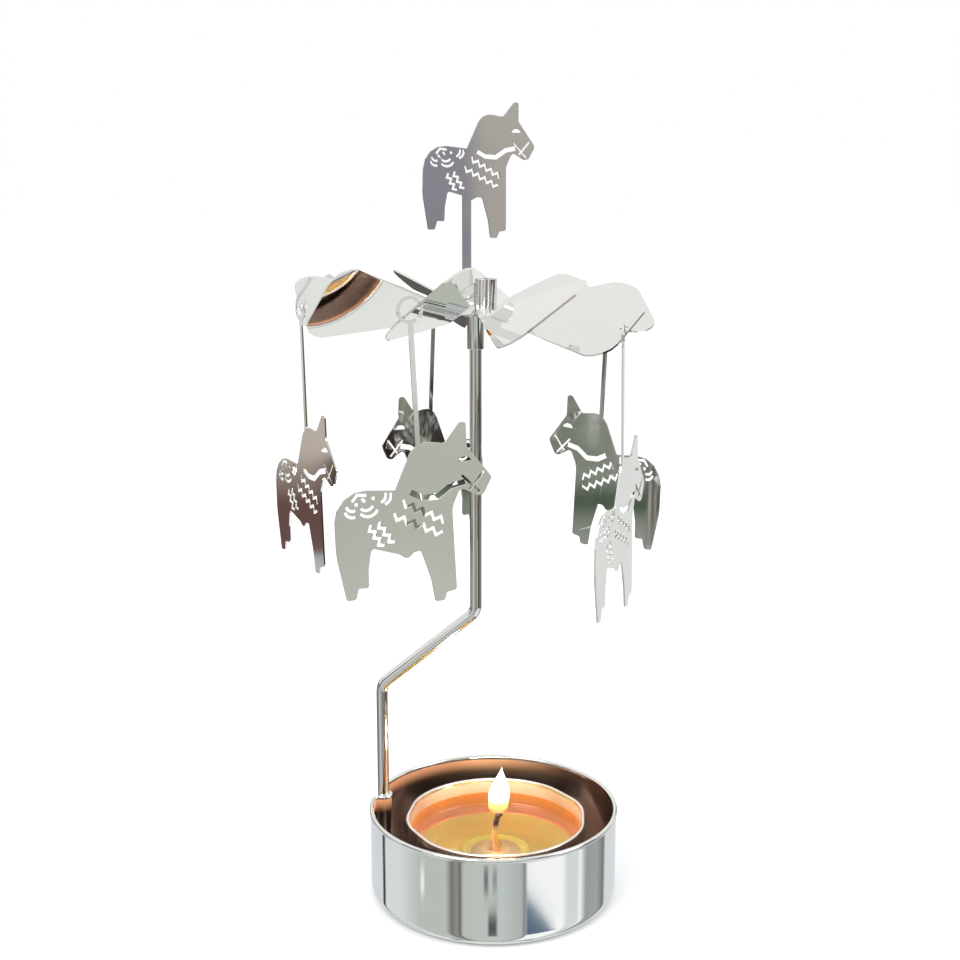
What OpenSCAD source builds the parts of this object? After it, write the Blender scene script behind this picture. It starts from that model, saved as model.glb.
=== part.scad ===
// A candle carousel: a tealight in a metal dish drives a stamped fan wheel that
// balances on a bent rod, with five horses hanging from it and one riding on top.
// Millimetres. +Z is up, the view of the front is along +Y, and the origin is the
// centre of the face that the dish stands on.

/* [Dish] */
// Outside diameter of the dish
dish_od = 52; // [48:0.5:64]
// Height of the dish from the table to the top of its rim
dish_h = 19; // [16:0.5:24]
// Thickness of the dish's sheet
dish_wall = 0.5; // [0.4:0.05:0.7]
// Outside radius between the dish's floor and its wall
dish_corner_r = 2.4; // [1.5:0.1:3]
// Diameter of the rolled bead round the rim
dish_bead_d = 0.9; // [0.7:0.05:1.2]
// Compass angle of the rod's channel in the dish wall, from +X
channel_angle = 167.5; // [160:0.5:175]
// How deep the rod's centre lies inside the dish wall's outer face
channel_in = 1.8; // [1.6:0.05:2]
// Height of the ledge at the channel's foot, where the rod stands
channel_floor = 3.2; // [2.8:0.1:5]

/* [Rod] */
// Diameter of the rod
rod_d = 2.45; // [2.2:0.05:2.8]
// Height where the rod leans in towards the middle
rod_low_bend_z = 43.7; // [34:0.2:48]
// Height where the rod turns upright again
rod_high_bend_z = 61.3; // [56:0.2:66]
// Radius of both bends along the rod's centre line
rod_bend_r = 3.2; // [2.5:0.1:4.5]
// Length of the pointed end that the wheel balances on
rod_point_l = 3; // [2:0.1:4]
// Diameter of the blunt tip of the point
rod_tip_d = 0.4; // [0.3:0.05:0.6]
// Distance of the wheel's axis left of the dish's centre
axis_x = 3.7; // [2:0.1:6]

/* [Fan wheel] */
// Height of the middle of the wheel's sheet above the table
fan_z = 123; // [115:0.5:135]
// Thickness of the wheel's sheet
fan_t = 0.4; // [0.3:0.05:0.5]
// Reach of a blade from the axis to its straight tip edge
blade_reach = 35; // [32:0.2:37]
// Width of a blade's tip
blade_tip_w = 20.4; // [17:0.2:20.8]
// Width of a blade half way along, at its shoulder
blade_shoulder_w = 13.2; // [9:0.2:13.6]
// Distance of the shoulder from the axis
blade_shoulder_r = 19.5; // [17:0.1:22]
// Width of the neck that each blade is twisted at
blade_neck_w = 3.2; // [2.6:0.05:3.2]
// Radius of the two outer corners of a blade
blade_corner_r = 4.6; // [3:0.1:6]
// Radius of the flat middle of the wheel
fan_boss_r = 5.4; // [5.3:0.05:5.6]
// Distance from the axis at which a blade has its full twist
blade_twist_r = 10.2; // [9:0.1:12]
// Diameter of the holes that the horses hang in
hang_hole_d = 1.6; // [1.55:0.05:1.7]
// Distance of a hanging hole's centre from the blade's tip edge
hang_hole_in = 1.2; // [1.1:0.05:1.25]
// Distance of a hanging hole from its blade's middle line
hang_hole_side = -0.5; // [-1:0.1:1]

/* [Hub] */
// Outside diameter of the bearing sleeve under the wheel
sleeve_od = 3.36; // [3.3:0.02:3.8]
// Length of the bearing sleeve below the wheel
sleeve_l = 7.1; // [5:0.1:9]
// Radial running clearance between the rod and the sleeve's bore
sleeve_clear = 0.1; // [0.05:0.01:0.1]
// Diameter of the flange that the wheel's sheet rests on
flange_d = 4.93; // [4.6:0.05:5.4]
// Thickness of that flange
flange_t = 0.55; // [0.4:0.05:0.8]
// Diameter of the spigot that is riveted flush in the wheel's middle hole
spigot_d = 1.6; // [1.2:0.05:1.8]
// Outside diameter of the slotted tube that holds the top horse
tube_od = 4.3; // [4:0.05:4.6]
// Wall of the slotted tube
tube_wall = 0.4; // [0.3:0.05:0.5]
// Height of the slotted tube
tube_h = 6.3; // [5:0.1:8]
// Distance from the wheel's axis to the slotted tube's centre
tube_off = 3.2; // [3.1:0.05:3.4]

/* [Horses] */
// Thickness of the sheet that all the horses are stamped from
horse_t = 0.35; // [0.3:0.05:0.4]
// Height of a hanging horse from its front feet to its ear
hang_horse_h = 32.5; // [28:0.5:34]
// Height of the top horse from its front feet to its ear
top_horse_h = 25.8; // [22:0.2:28]
// Length of a hanging horse's strip from its ring to its mane
strip_l = 22.6; // [16:0.2:24]
// Width of that strip
strip_w = 0.9; // [0.7:0.05:1.1]
// Outside diameter of the hanging ring
ring_od = 4.9; // [4.7:0.05:5.2]
// Width of the hanging ring's band
ring_band = 0.6; // [0.5:0.05:0.65]
// Height of a ring's centre below the hole it hangs in
ring_drop = 0.7; // [0.6:0.05:0.8]
// Angle of each hanging horse's sheet from the wheel's radius
ring_turn = 55; // [45:1:62]
// Width of the top horse's stem
stem_w = 1.78; // [1.4:0.02:2]
// Height of the top horse's front feet above the wheel's sheet
stem_l = 14.1; // [12:0.1:18]
// Angle of the top horse's sheet from the front view
top_turn = 22; // [10:1:30]

/* [Tealight] */
// Diameter of the tealight cup over its rim
cup_d = 38.5; // [37:0.1:39.5]
// Height of the tealight cup
cup_h = 15.9; // [13:0.1:17]
// Thickness of the tealight cup's foil
cup_wall = 0.3; // [0.2:0.05:0.4]
// Distance from the cup's rim down to the molten wax
wax_below_rim = 3.2; // [2:0.1:6]
// Diameter of the sheet disc that holds the wick
sustainer_d = 10.6; // [8:0.1:13]
// Thickness of that disc
sustainer_t = 0.3; // [0.2:0.05:0.4]
// Diameter of the wick
wick_d = 1.3; // [1:0.05:1.6]
// Length of the wick that stands out of the wax before its curl
wick_out = 2.2; // [1:0.1:4]
// Distance of the tealight right of the dish's centre
cup_x = 0.6; // [0:0.1:1.5]

/* [Hidden] */
$fn = 64;

// Overrun of every cut past the face it opens
over = 1;
// Gap round a piece that is held in a slot or channel
slide_clear = 0.05;
// Gap between the blunt tip and the seat that turns on it
seat_gap = 0.05;
// Gap between wax and what it lies against
wax_clear = 0.02;
// A bent round length swells by this much, and the straight ones run into it by this much
bend_swell = 0.04;
bend_in = 0.2;
// The channel's straight mouth is narrower than its round end by this much on each side
mouth_step = 0.02;

// Dish
dish_r = dish_od / 2;
channel_r = rod_d / 2 + slide_clear;
channel_x = (dish_r - channel_in) * cos(channel_angle);
channel_y = (dish_r - channel_in) * sin(channel_angle);

// Rod, in the upright plane through both its upright lengths
rod_run = norm([channel_x + axis_x, channel_y]);
rod_heading = atan2(-channel_y, -axis_x - channel_x);
rod_rise = rod_high_bend_z - rod_low_bend_z;
rod_lean = atan2(rod_run, rod_rise);
rod_tangent = rod_bend_r * tan(rod_lean / 2);
rod_slope_l = norm([rod_run, rod_rise]) - 2 * rod_tangent;

// Hub heights, from the wheel's sheet down and up
boss_extra_share = 0.15;
fan_boss_t = fan_t * (1 + boss_extra_share);
fan_bottom = fan_z - fan_boss_t / 2;
fan_top = fan_z + fan_boss_t / 2;
rod_top = fan_bottom - flange_t - seat_gap;
sleeve_bore_d = rod_d + 2 * sleeve_clear;
tube_turn = top_turn;
tube_x = -axis_x + tube_off * cos(tube_turn) - stem_w / 2;
tube_y = tube_off * sin(tube_turn);

// Bends of the ten blades, as [turn about the axis, pitch, lift] in degrees. Each
// blade is bent by hand, so no two are alike. The first faces the front.
blade_step = 36;
blade_first = -18;
blade_bends = [[2.4, 39.5, 8.6], [4.5, 34, 4.8], [1, 27.2, -2.4], [10, 24, 1.3], [4, 30, 1.5],
    [6.8, 41.3, 0.9], [1, 38.8, 0.6], [-0.4, 36.4, 1.4], [1.1, 36.9, 3.1], [-1.2, 41.3, 6.7]];
// The blades that carry a horse, and how far each horse is turned from ring_turn
hung_blades = [0, 2, 4, 6, 8];
hung_turns = [0, 10, 10, 7, 8];
// How far each horse and its strip are twisted out of the plane of their ring
hung_twists = [-2.4, -13.4, -14, -6, 4];

// Rings on a blade from its root to its tip, as [distance from the axis, half width]
hang_hole_r = blade_reach - hang_hole_in;
blade_root_r = 4.6;
blade_root_share = 0.86;
neck_steps = 4;
corner_steps = 4;
blade_ramp_r = 6;
function ramp_w(r) = (blade_neck_w + (blade_shoulder_w - blade_neck_w)
    * (r - blade_ramp_r) / (blade_shoulder_r - blade_ramp_r)) / 2;
blade_rings = concat(
    [[blade_root_r, blade_neck_w / 2 * blade_root_share], [fan_boss_r + fan_t, blade_neck_w / 2]],
    [for (k = [1:neck_steps]) let (r = blade_ramp_r + (blade_twist_r - blade_ramp_r) * k / neck_steps)
        [r, ramp_w(r)]],
    [[blade_shoulder_r, blade_shoulder_w / 2]],
    [for (k = [0:corner_steps]) let (a = 90 * k / corner_steps)
        [blade_reach - blade_corner_r * (1 - sin(a)), blade_tip_w / 2 - blade_corner_r * (1 - cos(a))]]);

// A horse's outline in shares of its height, as [along, up, corner radius]. Along is
// measured towards the head from the stem's centre line and up from the front feet.
back_share = [[-0.345, 0.70, 0.17], [0, 0.662, 0.008], [0.125, 0.925, 0.11], [0.293, 0.896, 0.03],
    [0.385, 1.008, 0.03], [0.42, 1, 0.012], [0.42, 0.864, 0.03], [0.557, 0.68, 0.03],
    [0.504, 0.587, 0.022], [0.47, 0.581, 0.015], [0.371, 0.638, 0.028], [0.318, 0.53, 0.12],
    [0.32, 0.055, 0.016], [0.262, 0.046, 0.008], [0.246, 0, 0.016], [0.192, 0, 0.012],
    [0.176, 0.13, 0.1], [0.126, 0.304, 0.02]];
// The underside between the legs: rounded on a hanging horse, cut by the stem on top
hung_belly_share = [[0.085, 0.3, 0.02], [0.047, 0.262, 0.03], [0, 0.298, 0.03]];
top_belly_share = [[0.078, 0.304, 0.02], [0.033, 0.28, 0], [-0.033, 0.318, 0]];
rear_share = [[-0.154, 0.352, 0.02], [-0.178, 0.23, 0.1], [-0.182, 0.128, 0.014],
    [-0.24, 0.132, 0.008], [-0.258, 0.07, 0.016], [-0.31, 0.068, 0.014], [-0.352, 0.33, 0.3]];
// Where the strip meets the mane, and where the stem leaves the belly
strip_at_share = 0.142;
strip_top_share = 0.87;
stem_top_share = 0.33;
// The cut-outs, in shares of the horse's height
eye_share = [0.404, 0.782, 0.04, 0.029];
collar_share = [[0.085, 0.642], [0.15, 0.606], [0.235, 0.6], [0.315, 0.652], [0.4, 0.667]];
collar_w_share = 0.034;
bridle_share = [[[0.382, 0.706], [0.484, 0.6]], [[0.51, 0.715], [0.424, 0.62]]];
bridle_w_share = 0.014;
line_w_share = 0.017;
// Waves, as [start, end, number of half waves, half height]
wave_share = [[[0.035, 0.59], [0.27, 0.457], 9, 0.017], [[-0.02, 0.52], [0.25, 0.385], 10, 0.017],
    [[-0.16, 0.478], [-0.09, 0.353], 6, 0.014], [[-0.108, 0.49], [-0.03, 0.365], 6, 0.014]];
// How far a wave's turns are rounded, in shares of its line
wave_ease = 0.3;
// Crescents, as [centre, radius, first angle, last angle]
crescent_share = [[[-0.245, 0.603], 0.032, 185, 300], [[-0.245, 0.578], 0.042, 190, 290],
    [[-0.168, 0.612], 0.044, 225, 330], [[-0.158, 0.59], 0.058, 220, 335],
    [[-0.1, 0.648], 0.047, -70, 10], [[-0.075, 0.64], 0.05, -75, 15]];
arrow_share = [[-0.245, 0.624], [-0.214, 0.66], [-0.16, 0.653]];
arrow_leg_share = [[-0.19, 0.638], [-0.172, 0.616]];
dot_share = [[-0.125, 0.632], [-0.222, 0.606]];
dot_r_share = 0.011;
// How far each hanging horse's strip hangs off plumb
hung_lean = 2.9;
// How far into the ring's band the strip runs
strip_in_share = 0.75;
// Angle of the middle of the ring's open gap, and half of its width
gap_angle = -52;
gap_half = 9;
// Turn of a rounded corner per straight step
corner_turn = 24;
// Height of the top horse's foot in the slotted tube
foot_share = 0.86;
foot_h = tube_h * foot_share;

// Tealight
cup_bottom = dish_wall;
cup_top = cup_bottom + cup_h;
cup_rim_d = 0.7;
cup_body_r = cup_d / 2 - cup_rim_d / 2;
cup_corner_r = 1.2;
wax_top = cup_top - wax_below_rim;
sustainer_neck_h = 3;
sustainer_neck_wall = 0.3;
wick_curl_r = 2;
wick_curl = 55;

// Points of a closed outline whose corners are rounded to their own radius
function unit(v) = v / norm(v);
function turn_sign(a, b, c) = cross(b - a, c - b) > 0 ? 1 : -1;
function corner(a, b, c, r) = r == 0 ? [b] : let (
    u = unit(a - b), v = unit(c - b), half = acos(u * v) / 2, mid = b + unit(u + v) * r / sin(half),
    from = b + u * r / tan(half) - mid, turn = turn_sign(a, b, c) * (180 - 2 * half),
    first = atan2(from[1], from[0]), steps = max(1, ceil(abs(turn) / corner_turn)))
    [for (k = [0:steps]) mid + r * [cos(first + turn * k / steps), sin(first + turn * k / steps)]];
function xy(p) = [p[0], p[1]];
function rounded(p) = let (n = len(p)) [for (i = [0:n - 1])
    each corner(xy(p[(i + n - 1) % n]), xy(p[i]), xy(p[(i + 1) % n]), p[i][2])];

// Outline of a line drawn through points at an even width
function side(p, i, w) = let (n = len(p) - 1,
    before = i == 0 ? unit(p[1] - p[0]) : unit(p[i] - p[i - 1]),
    after = i == n ? before : unit(p[i + 1] - p[i]), mean = unit(before + after))
    p[i] + [-mean[1], mean[0]] * w / 2 / (mean * before);
function stroke(p, w) = concat([for (i = [0:len(p) - 1]) side(p, i, w)],
    [for (i = [len(p) - 1:-1:0]) side(p, i, -w)]);
function wave(a, b, halves, high) = let (d = b - a, n = [-d[1], d[0]] / norm(d))
    [for (k = [0:halves]) a + d * k / halves + n * high * (k % 2 == 0 ? 1 : -1)];
function arc(c, r, a0, a1, steps) = [for (k = [0:steps]) let (a = a0 + (a1 - a0) * k / steps)
    c + r * [cos(a), sin(a)]];

module line(p, w, h, r = 0) {
    points = stroke(p, w);
    polygon(h * rounded([for (q = points) [q[0], q[1], r]]));
}

// The holes that are stamped through a horse of height h
module horse_cuts(h) {
    translate(h * [eye_share[0], eye_share[1]])
        polygon([for (a = [0:30:180]) h * [eye_share[2] * cos(a), eye_share[3] * sin(a)]]);
    line(collar_share, collar_w_share, h);
    for (b = bridle_share) line(b, bridle_w_share, h);
    for (s = wave_share) line(wave(s[0], s[1], s[2], s[3]), line_w_share, h, line_w_share * wave_ease);
    for (c = crescent_share) line(arc(c[0], c[1], c[2], c[3], 5), line_w_share, h);
    line(arrow_share, line_w_share, h);
    line(arrow_leg_share, line_w_share, h);
    for (d = dot_share) translate(h * d) circle(h * dot_r_share, $fn = 24);
}

module horse_outline(h, belly_share) {
    points = rounded(concat(back_share, belly_share, rear_share));
    polygon(h * [for (i = [len(points) - 1:-1:0]) points[i]]);
}

// The open ring of a hanging horse, flat, with its centre at 0,0
module ring_outline() {
    difference() {
        circle(ring_od / 2);
        circle(ring_od / 2 - ring_band);
        polygon([[0, 0], ring_od * [cos(gap_angle - gap_half), sin(gap_angle - gap_half)],
            ring_od * [cos(gap_angle + gap_half), sin(gap_angle + gap_half)]]);
    }
}

// A hanging horse with its strip, flat, with the ring's centre at 0,0. The head points
// along +X.
module hanging_outline() {
    strip_bottom = -ring_od / 2 - strip_l;
    horse_at = [-hang_horse_h * strip_at_share, strip_bottom - hang_horse_h * strip_top_share];
    difference() {
        union() {
            translate(horse_at) horse_outline(hang_horse_h, hung_belly_share);
            translate([-strip_w / 2, strip_bottom - strip_w])
                square([strip_w, strip_l + strip_w + ring_band * strip_in_share]);
        }
        translate(horse_at) horse_cuts(hang_horse_h);
    }
}

// The top horse with its stem and the foot that goes into the slotted tube, flat
module top_outline() {
    difference() {
        union() {
            translate([0, stem_l]) horse_outline(top_horse_h, top_belly_share);
            translate([-stem_w / 2, 0]) square([stem_w, stem_l + top_horse_h * stem_top_share]);
            square([tube_off + stem_w / 2, foot_h]);
        }
        translate([0, stem_l]) horse_cuts(top_horse_h);
    }
}

// Place of a point on a blade: r out from the axis, v across it, h above its sheet
function ease(s) = s * s * (3 - 2 * s);
function bent(r) = ease(min(1, max(0, (r - fan_boss_r) / (blade_twist_r - fan_boss_r))));
function blade_point(i, r, v, h) = let (p = blade_bends[i][1] * bent(r),
    a = blade_first + blade_step * i + blade_bends[i][0] * bent(r),
    lift = max(0, r - fan_boss_r) * tan(blade_bends[i][2]), across = v * cos(p) - h * sin(p))
    [r * sin(a) + across * cos(a), across * sin(a) - r * cos(a), v * sin(p) + h * cos(p) + lift];

// One blade as a thin twisted sheet, four corners to a ring
module blade(i) {
    n = len(blade_rings) - 1;
    points = [for (g = blade_rings) each [for (c = [[-1, -1], [1, -1], [1, 1], [-1, 1]])
        blade_point(i, g[0], c[0] * g[1], c[1] * fan_t / 2)]];
    sides = [for (k = [0:n - 1]) for (c = [0:3]) let (a = 4 * k + c, b = 4 * k + (c + 1) % 4)
        each [[b + 4, b, a], [a + 4, b + 4, a]]];
    ends = [[0, 1, 2], [0, 2, 3], [4 * n + 2, 4 * n + 1, 4 * n], [4 * n + 3, 4 * n + 2, 4 * n]];
    polyhedron(points, concat(sides, ends));
}

// The place and turn of the ring's centre of hanging horse i
module at_ring(i) {
    b = hung_blades[i];
    ring_r = (ring_od - ring_band) / 2;
    out = sqrt(ring_r * ring_r - ring_drop * ring_drop);
    heading = blade_first + blade_step * b + blade_bends[b][0] - 90 - ring_turn - hung_turns[i];
    translate([-axis_x, 0, fan_z] + blade_point(b, hang_hole_r, hang_hole_side, 0))
        translate([out * cos(heading), out * sin(heading), -ring_drop])
            rotate([0, 0, heading + 180]) children();
}

// An upright bar, round at the rod and running straight out past the dish's wall
module channel_bar(r, h) {
    rotate([0, 0, channel_angle]) translate([dish_r - channel_in, 0, 0]) {
        cylinder(r = r, h = h);
        translate([0, mouth_step - r, 0]) cube([channel_in + over, 2 * (r - mouth_step), h]);
    }
}

module base_dish() {
    color("lightgray") difference() {
        union() {
            rotate_extrude($fn = 96) difference() {
                union() {
                    square([dish_r - dish_corner_r, dish_h / 2]);
                    translate([0, dish_corner_r]) square([dish_r, dish_h - dish_corner_r - dish_bead_d / 2]);
                    translate([dish_r - dish_corner_r, dish_corner_r]) circle(dish_corner_r);
                    translate([dish_r - dish_wall / 2, dish_h - dish_bead_d / 2]) circle(dish_bead_d / 2);
                }
                translate([0, dish_wall]) square([dish_r - dish_corner_r, dish_h]);
                translate([0, dish_corner_r])
                    square([dish_r - dish_wall, dish_h - dish_corner_r - dish_bead_d]);
                translate([dish_r - dish_corner_r, dish_corner_r]) circle(dish_corner_r - dish_wall);
                translate([-over, dish_h / 2]) square([over + dish_r - dish_wall - dish_bead_d / 2, dish_h]);
            }
            // The wall pressed inwards round the rod
            intersection() {
                cylinder(r = dish_r, h = dish_h - dish_bead_d / 2, $fn = 96);
                translate([0, 0, dish_corner_r])
                    channel_bar(channel_r + dish_wall, dish_h - dish_corner_r - dish_bead_d / 2);
            }
        }
        translate([0, 0, channel_floor]) channel_bar(channel_r, dish_h);
    }
}

// The rod: upright in the channel, leaning in over the tealight, upright to its point
module post() {
    color("silver") translate([channel_x, channel_y, 0]) rotate([0, 0, rod_heading]) {
        translate([0, 0, channel_floor])
            cylinder(d = rod_d, h = rod_low_bend_z - rod_tangent - channel_floor + bend_in);
        translate([rod_bend_r, 0, rod_low_bend_z - rod_tangent])
            rotate([90, 0, 0]) rotate([0, 0, 180 - rod_lean])
                rotate_extrude(angle = rod_lean) translate([rod_bend_r, 0]) circle(d = rod_d + bend_swell);
        translate([0, 0, rod_low_bend_z]) rotate([0, rod_lean, 0]) translate([0, 0, rod_tangent - bend_in])
            cylinder(d = rod_d, h = rod_slope_l + 2 * bend_in);
        translate([rod_run - rod_bend_r, 0, rod_high_bend_z + rod_tangent])
            rotate([90, 0, 0]) rotate([0, 0, -rod_lean])
                rotate_extrude(angle = rod_lean) translate([rod_bend_r, 0]) circle(d = rod_d + bend_swell);
        translate([rod_run, 0, rod_high_bend_z + rod_tangent - bend_in])
            cylinder(d = rod_d, h = rod_top - rod_point_l - rod_high_bend_z - rod_tangent + bend_in);
        translate([rod_run, 0, rod_top - rod_point_l])
            cylinder(d1 = rod_d, d2 = rod_tip_d, h = rod_point_l);
    }
}

// Ten blades twisted out of one sheet, a rivet hole, and a hole for each ring
module fan_wheel() {
    color("gainsboro") translate([-axis_x, 0, fan_z]) difference() {
        union() {
            translate([0, 0, -fan_boss_t / 2]) cylinder(r = fan_boss_r, h = fan_boss_t);
            for (i = [0:len(blade_bends) - 1]) blade(i);
        }
        translate([0, 0, -over]) cylinder(d = spigot_d, h = 2 * over);
        for (b = hung_blades) translate(blade_point(b, hang_hole_r, hang_hole_side, 0))
            rotate([0, 0, blade_first + blade_step * b + blade_bends[b][0]])
                rotate([0, -blade_bends[b][1], 0])
                    translate([0, 0, -over]) cylinder(d = hang_hole_d, h = 2 * over, $fn = 32);
    }
}

// The turned sleeve that drops over the rod's point, riveted through the wheel
module bearing_sleeve() {
    color("silver") translate([-axis_x, 0, 0]) difference() {
        union() {
            translate([0, 0, fan_bottom - sleeve_l]) cylinder(d = sleeve_od, h = sleeve_l - flange_t);
            translate([0, 0, fan_bottom - flange_t]) cylinder(d = flange_d, h = flange_t);
            translate([0, 0, fan_bottom]) cylinder(d = spigot_d, h = fan_boss_t);
        }
        translate([0, 0, fan_bottom - sleeve_l - over])
            cylinder(d = sleeve_bore_d, h = sleeve_l + over - flange_t);
    }
}

// The slotted tube that stands on the wheel and grips the top horse's foot
module figure_socket() {
    slot_w = horse_t + 2 * slide_clear;
    color("silver") translate([tube_x, tube_y, fan_top]) difference() {
        cylinder(d = tube_od, h = tube_h);
        translate([0, 0, -over]) cylinder(d = tube_od - 2 * tube_wall, h = tube_h + 2 * over);
        rotate([0, 0, tube_turn]) translate([-tube_od, -slot_w / 2, -over])
            cube([tube_od, slot_w, tube_h + 2 * over]);
    }
}

module top_horse() {
    color("gray") translate([tube_x, tube_y, fan_top]) rotate([0, 0, tube_turn])
        rotate([90, 0, 0]) translate([-tube_off - stem_w / 2, 0, -horse_t / 2])
            linear_extrude(horse_t) top_outline();
}

module hung_sheet(turn) {
    rotate([90, 0, turn]) translate([0, 0, -horse_t / 2]) linear_extrude(horse_t) rotate(hung_lean)
        children();
}
module pendant_horse(i) {
    color("darkseagreen") at_ring(i) union() {
        hung_sheet(0) ring_outline();
        hung_sheet(hung_twists[i]) hanging_outline();
    }
}
module pendant_horse_1() pendant_horse(0);
module pendant_horse_2() pendant_horse(1);
module pendant_horse_3() pendant_horse(2);
module pendant_horse_4() pendant_horse(3);
module pendant_horse_5() pendant_horse(4);

module tealight_cup() {
    color("whitesmoke") translate([cup_x, 0, cup_bottom]) rotate_extrude($fn = 96) difference() {
        union() {
            square([cup_body_r - cup_corner_r, cup_h / 2]);
            translate([0, cup_corner_r]) square([cup_body_r, cup_h - cup_corner_r - cup_rim_d / 2]);
            translate([cup_body_r - cup_corner_r, cup_corner_r]) circle(cup_corner_r);
            translate([cup_body_r, cup_h - cup_rim_d / 2]) circle(cup_rim_d / 2);
        }
        translate([0, cup_wall]) square([cup_body_r - cup_corner_r, cup_h]);
        translate([0, cup_corner_r]) square([cup_body_r - cup_wall, cup_h]);
        translate([cup_body_r - cup_corner_r, cup_corner_r]) circle(cup_corner_r - cup_wall);
    }
}

module wax() {
    neck_r = wick_d / 2 + sustainer_neck_wall + wax_clear;
    level = wax_top - cup_bottom - cup_wall;
    color("khaki") translate([cup_x, 0, cup_bottom + cup_wall]) difference() {
        union() {
            translate([0, 0, wax_clear]) cylinder(r = cup_body_r - cup_corner_r, h = level);
            translate([0, 0, cup_corner_r])
                cylinder(r = cup_body_r - cup_wall - wax_clear, h = level - cup_corner_r + wax_clear);
        }
        translate([0, 0, -over]) cylinder(r = sustainer_d / 2 + wax_clear, h = over + sustainer_t + wax_clear);
        translate([0, 0, -over]) cylinder(r = neck_r, h = over + sustainer_neck_h + wax_clear);
        cylinder(d = wick_d + 2 * wax_clear, h = cup_h);
    }
}

module wick_sustainer() {
    color("tan") translate([cup_x, 0, cup_bottom + cup_wall]) difference() {
        union() {
            cylinder(d = sustainer_d, h = sustainer_t);
            cylinder(d = wick_d + 2 * sustainer_neck_wall, h = sustainer_neck_h);
        }
        translate([0, 0, sustainer_t]) cylinder(d = wick_d, h = sustainer_neck_h);
    }
}

// The wick stands in the sustainer and curls over to the right
module wick() {
    foot = cup_bottom + cup_wall + sustainer_t;
    bend = wax_top + wick_out;
    color("dimgray") translate([cup_x, 0, 0]) {
        translate([0, 0, foot]) cylinder(d = wick_d, h = bend - foot + bend_in);
        translate([wick_curl_r, 0, bend]) rotate([90, 0, 0]) rotate([0, 0, 180 - wick_curl])
            rotate_extrude(angle = wick_curl) translate([wick_curl_r, 0]) circle(d = wick_d + bend_swell);
    }
}

base_dish();
post();
fan_wheel();
bearing_sleeve();
figure_socket();
top_horse();
pendant_horse_1();
pendant_horse_2();
pendant_horse_3();
pendant_horse_4();
pendant_horse_5();
tealight_cup();
wax();
wick();
wick_sustainer();
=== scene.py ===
# %% [markdown]
# # A candle carousel in bright plate
#
# A tealight in a dish warms the air, the air turns a fan wheel on the point of a bent
# rod, and the horses that hang from the wheel go round. The construction comes packed,
# as a frame of named parts. This script gives it its looks: every part here is thin
# plated metal, so the work is in clean curved surfaces, thin bright edges and quiet
# surroundings for the metal to mirror.

from math import atan2, cos, exp, hypot, pi, radians, sin, sqrt, tan

import bmesh
import bpy
from mathutils import Matrix, Vector


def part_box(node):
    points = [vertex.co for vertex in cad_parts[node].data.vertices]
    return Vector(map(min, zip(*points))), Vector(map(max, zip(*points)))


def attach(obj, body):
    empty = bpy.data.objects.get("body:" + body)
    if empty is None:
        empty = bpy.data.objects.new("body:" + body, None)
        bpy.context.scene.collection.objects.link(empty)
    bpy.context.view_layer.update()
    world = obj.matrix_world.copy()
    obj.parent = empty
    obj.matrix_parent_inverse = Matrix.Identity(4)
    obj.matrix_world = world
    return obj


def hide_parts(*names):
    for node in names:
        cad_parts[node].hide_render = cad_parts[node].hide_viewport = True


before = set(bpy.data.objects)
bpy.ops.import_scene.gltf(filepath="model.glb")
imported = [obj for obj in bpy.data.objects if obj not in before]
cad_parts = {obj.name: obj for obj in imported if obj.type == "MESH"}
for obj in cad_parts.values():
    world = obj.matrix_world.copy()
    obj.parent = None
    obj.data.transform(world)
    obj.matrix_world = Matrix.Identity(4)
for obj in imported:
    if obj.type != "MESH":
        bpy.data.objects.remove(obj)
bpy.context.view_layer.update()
MM = 0.001
print("nodes", sorted(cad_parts))


# %% [markdown]
# ## The camera
#
# The photograph was taken a little above the wheel and looks down at the dish. The
# place, tilt and focal length below were worked out from the ellipses of the dish's
# rim and of the tealight, so they are real lengths from the middle of the dish's foot.

# %% The camera
def add_object(name, data):
    """Puts a mesh, lamp or camera into the scene as an object of its own."""
    made = bpy.data.objects.new(name, data)
    bpy.context.scene.collection.objects.link(made)
    return made


camera_place = Vector((-2.82, -280.6, 147.5)) * MM
camera_tilt = 11.76
camera_lens = 53.1

camera_data = bpy.data.cameras.new("camera")
camera_data.lens = camera_lens
camera_data.sensor_width = 36
camera_data.clip_start = 0.01
camera = add_object("camera", camera_data)
camera.location = camera_place
camera.rotation_euler = (radians(90 - camera_tilt), 0, 0)
bpy.context.scene.camera = camera
print("camera at", [round(c, 4) for c in camera_place])


# %% [markdown]
# ## Sizes read from the frame
#
# The new pieces take their places from the boxes of the parts they stand for, so they
# land where the construction says. Only small details, such as the width of a rolled
# edge, are sizes of their own.

# %% Sizes read from the frame
dish_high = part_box("base_dish")[1]
dish_height = dish_high.z
# The rim's bead has this radius and stands out past the wall by this much
dish_bead = 0.45 * MM
bead_overhang = 0.205 * MM
dish_radius = dish_high.x - bead_overhang
dish_wall = 0.5 * MM
dish_corner = 2.4 * MM

post_low, post_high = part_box("post")
rod_radius = 1.225 * MM
rod_foot = Vector((post_low.x + rod_radius, post_high.y - rod_radius, post_low.z))
axis_x = post_high.x - rod_radius
rod_top = post_high.z

sleeve_low, sleeve_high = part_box("bearing_sleeve")
tube_low, tube_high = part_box("figure_socket")
cup_low, cup_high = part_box("tealight_cup")
cup_centre = (cup_low + cup_high) / 2
cup_radius = (cup_high.x - cup_low.x) / 2
wax_low, wax_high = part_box("wax")
wick_low, wick_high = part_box("wick")
print("rod foot", [round(c / MM, 2) for c in rod_foot], "axis x", round(axis_x / MM, 2))


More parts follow.
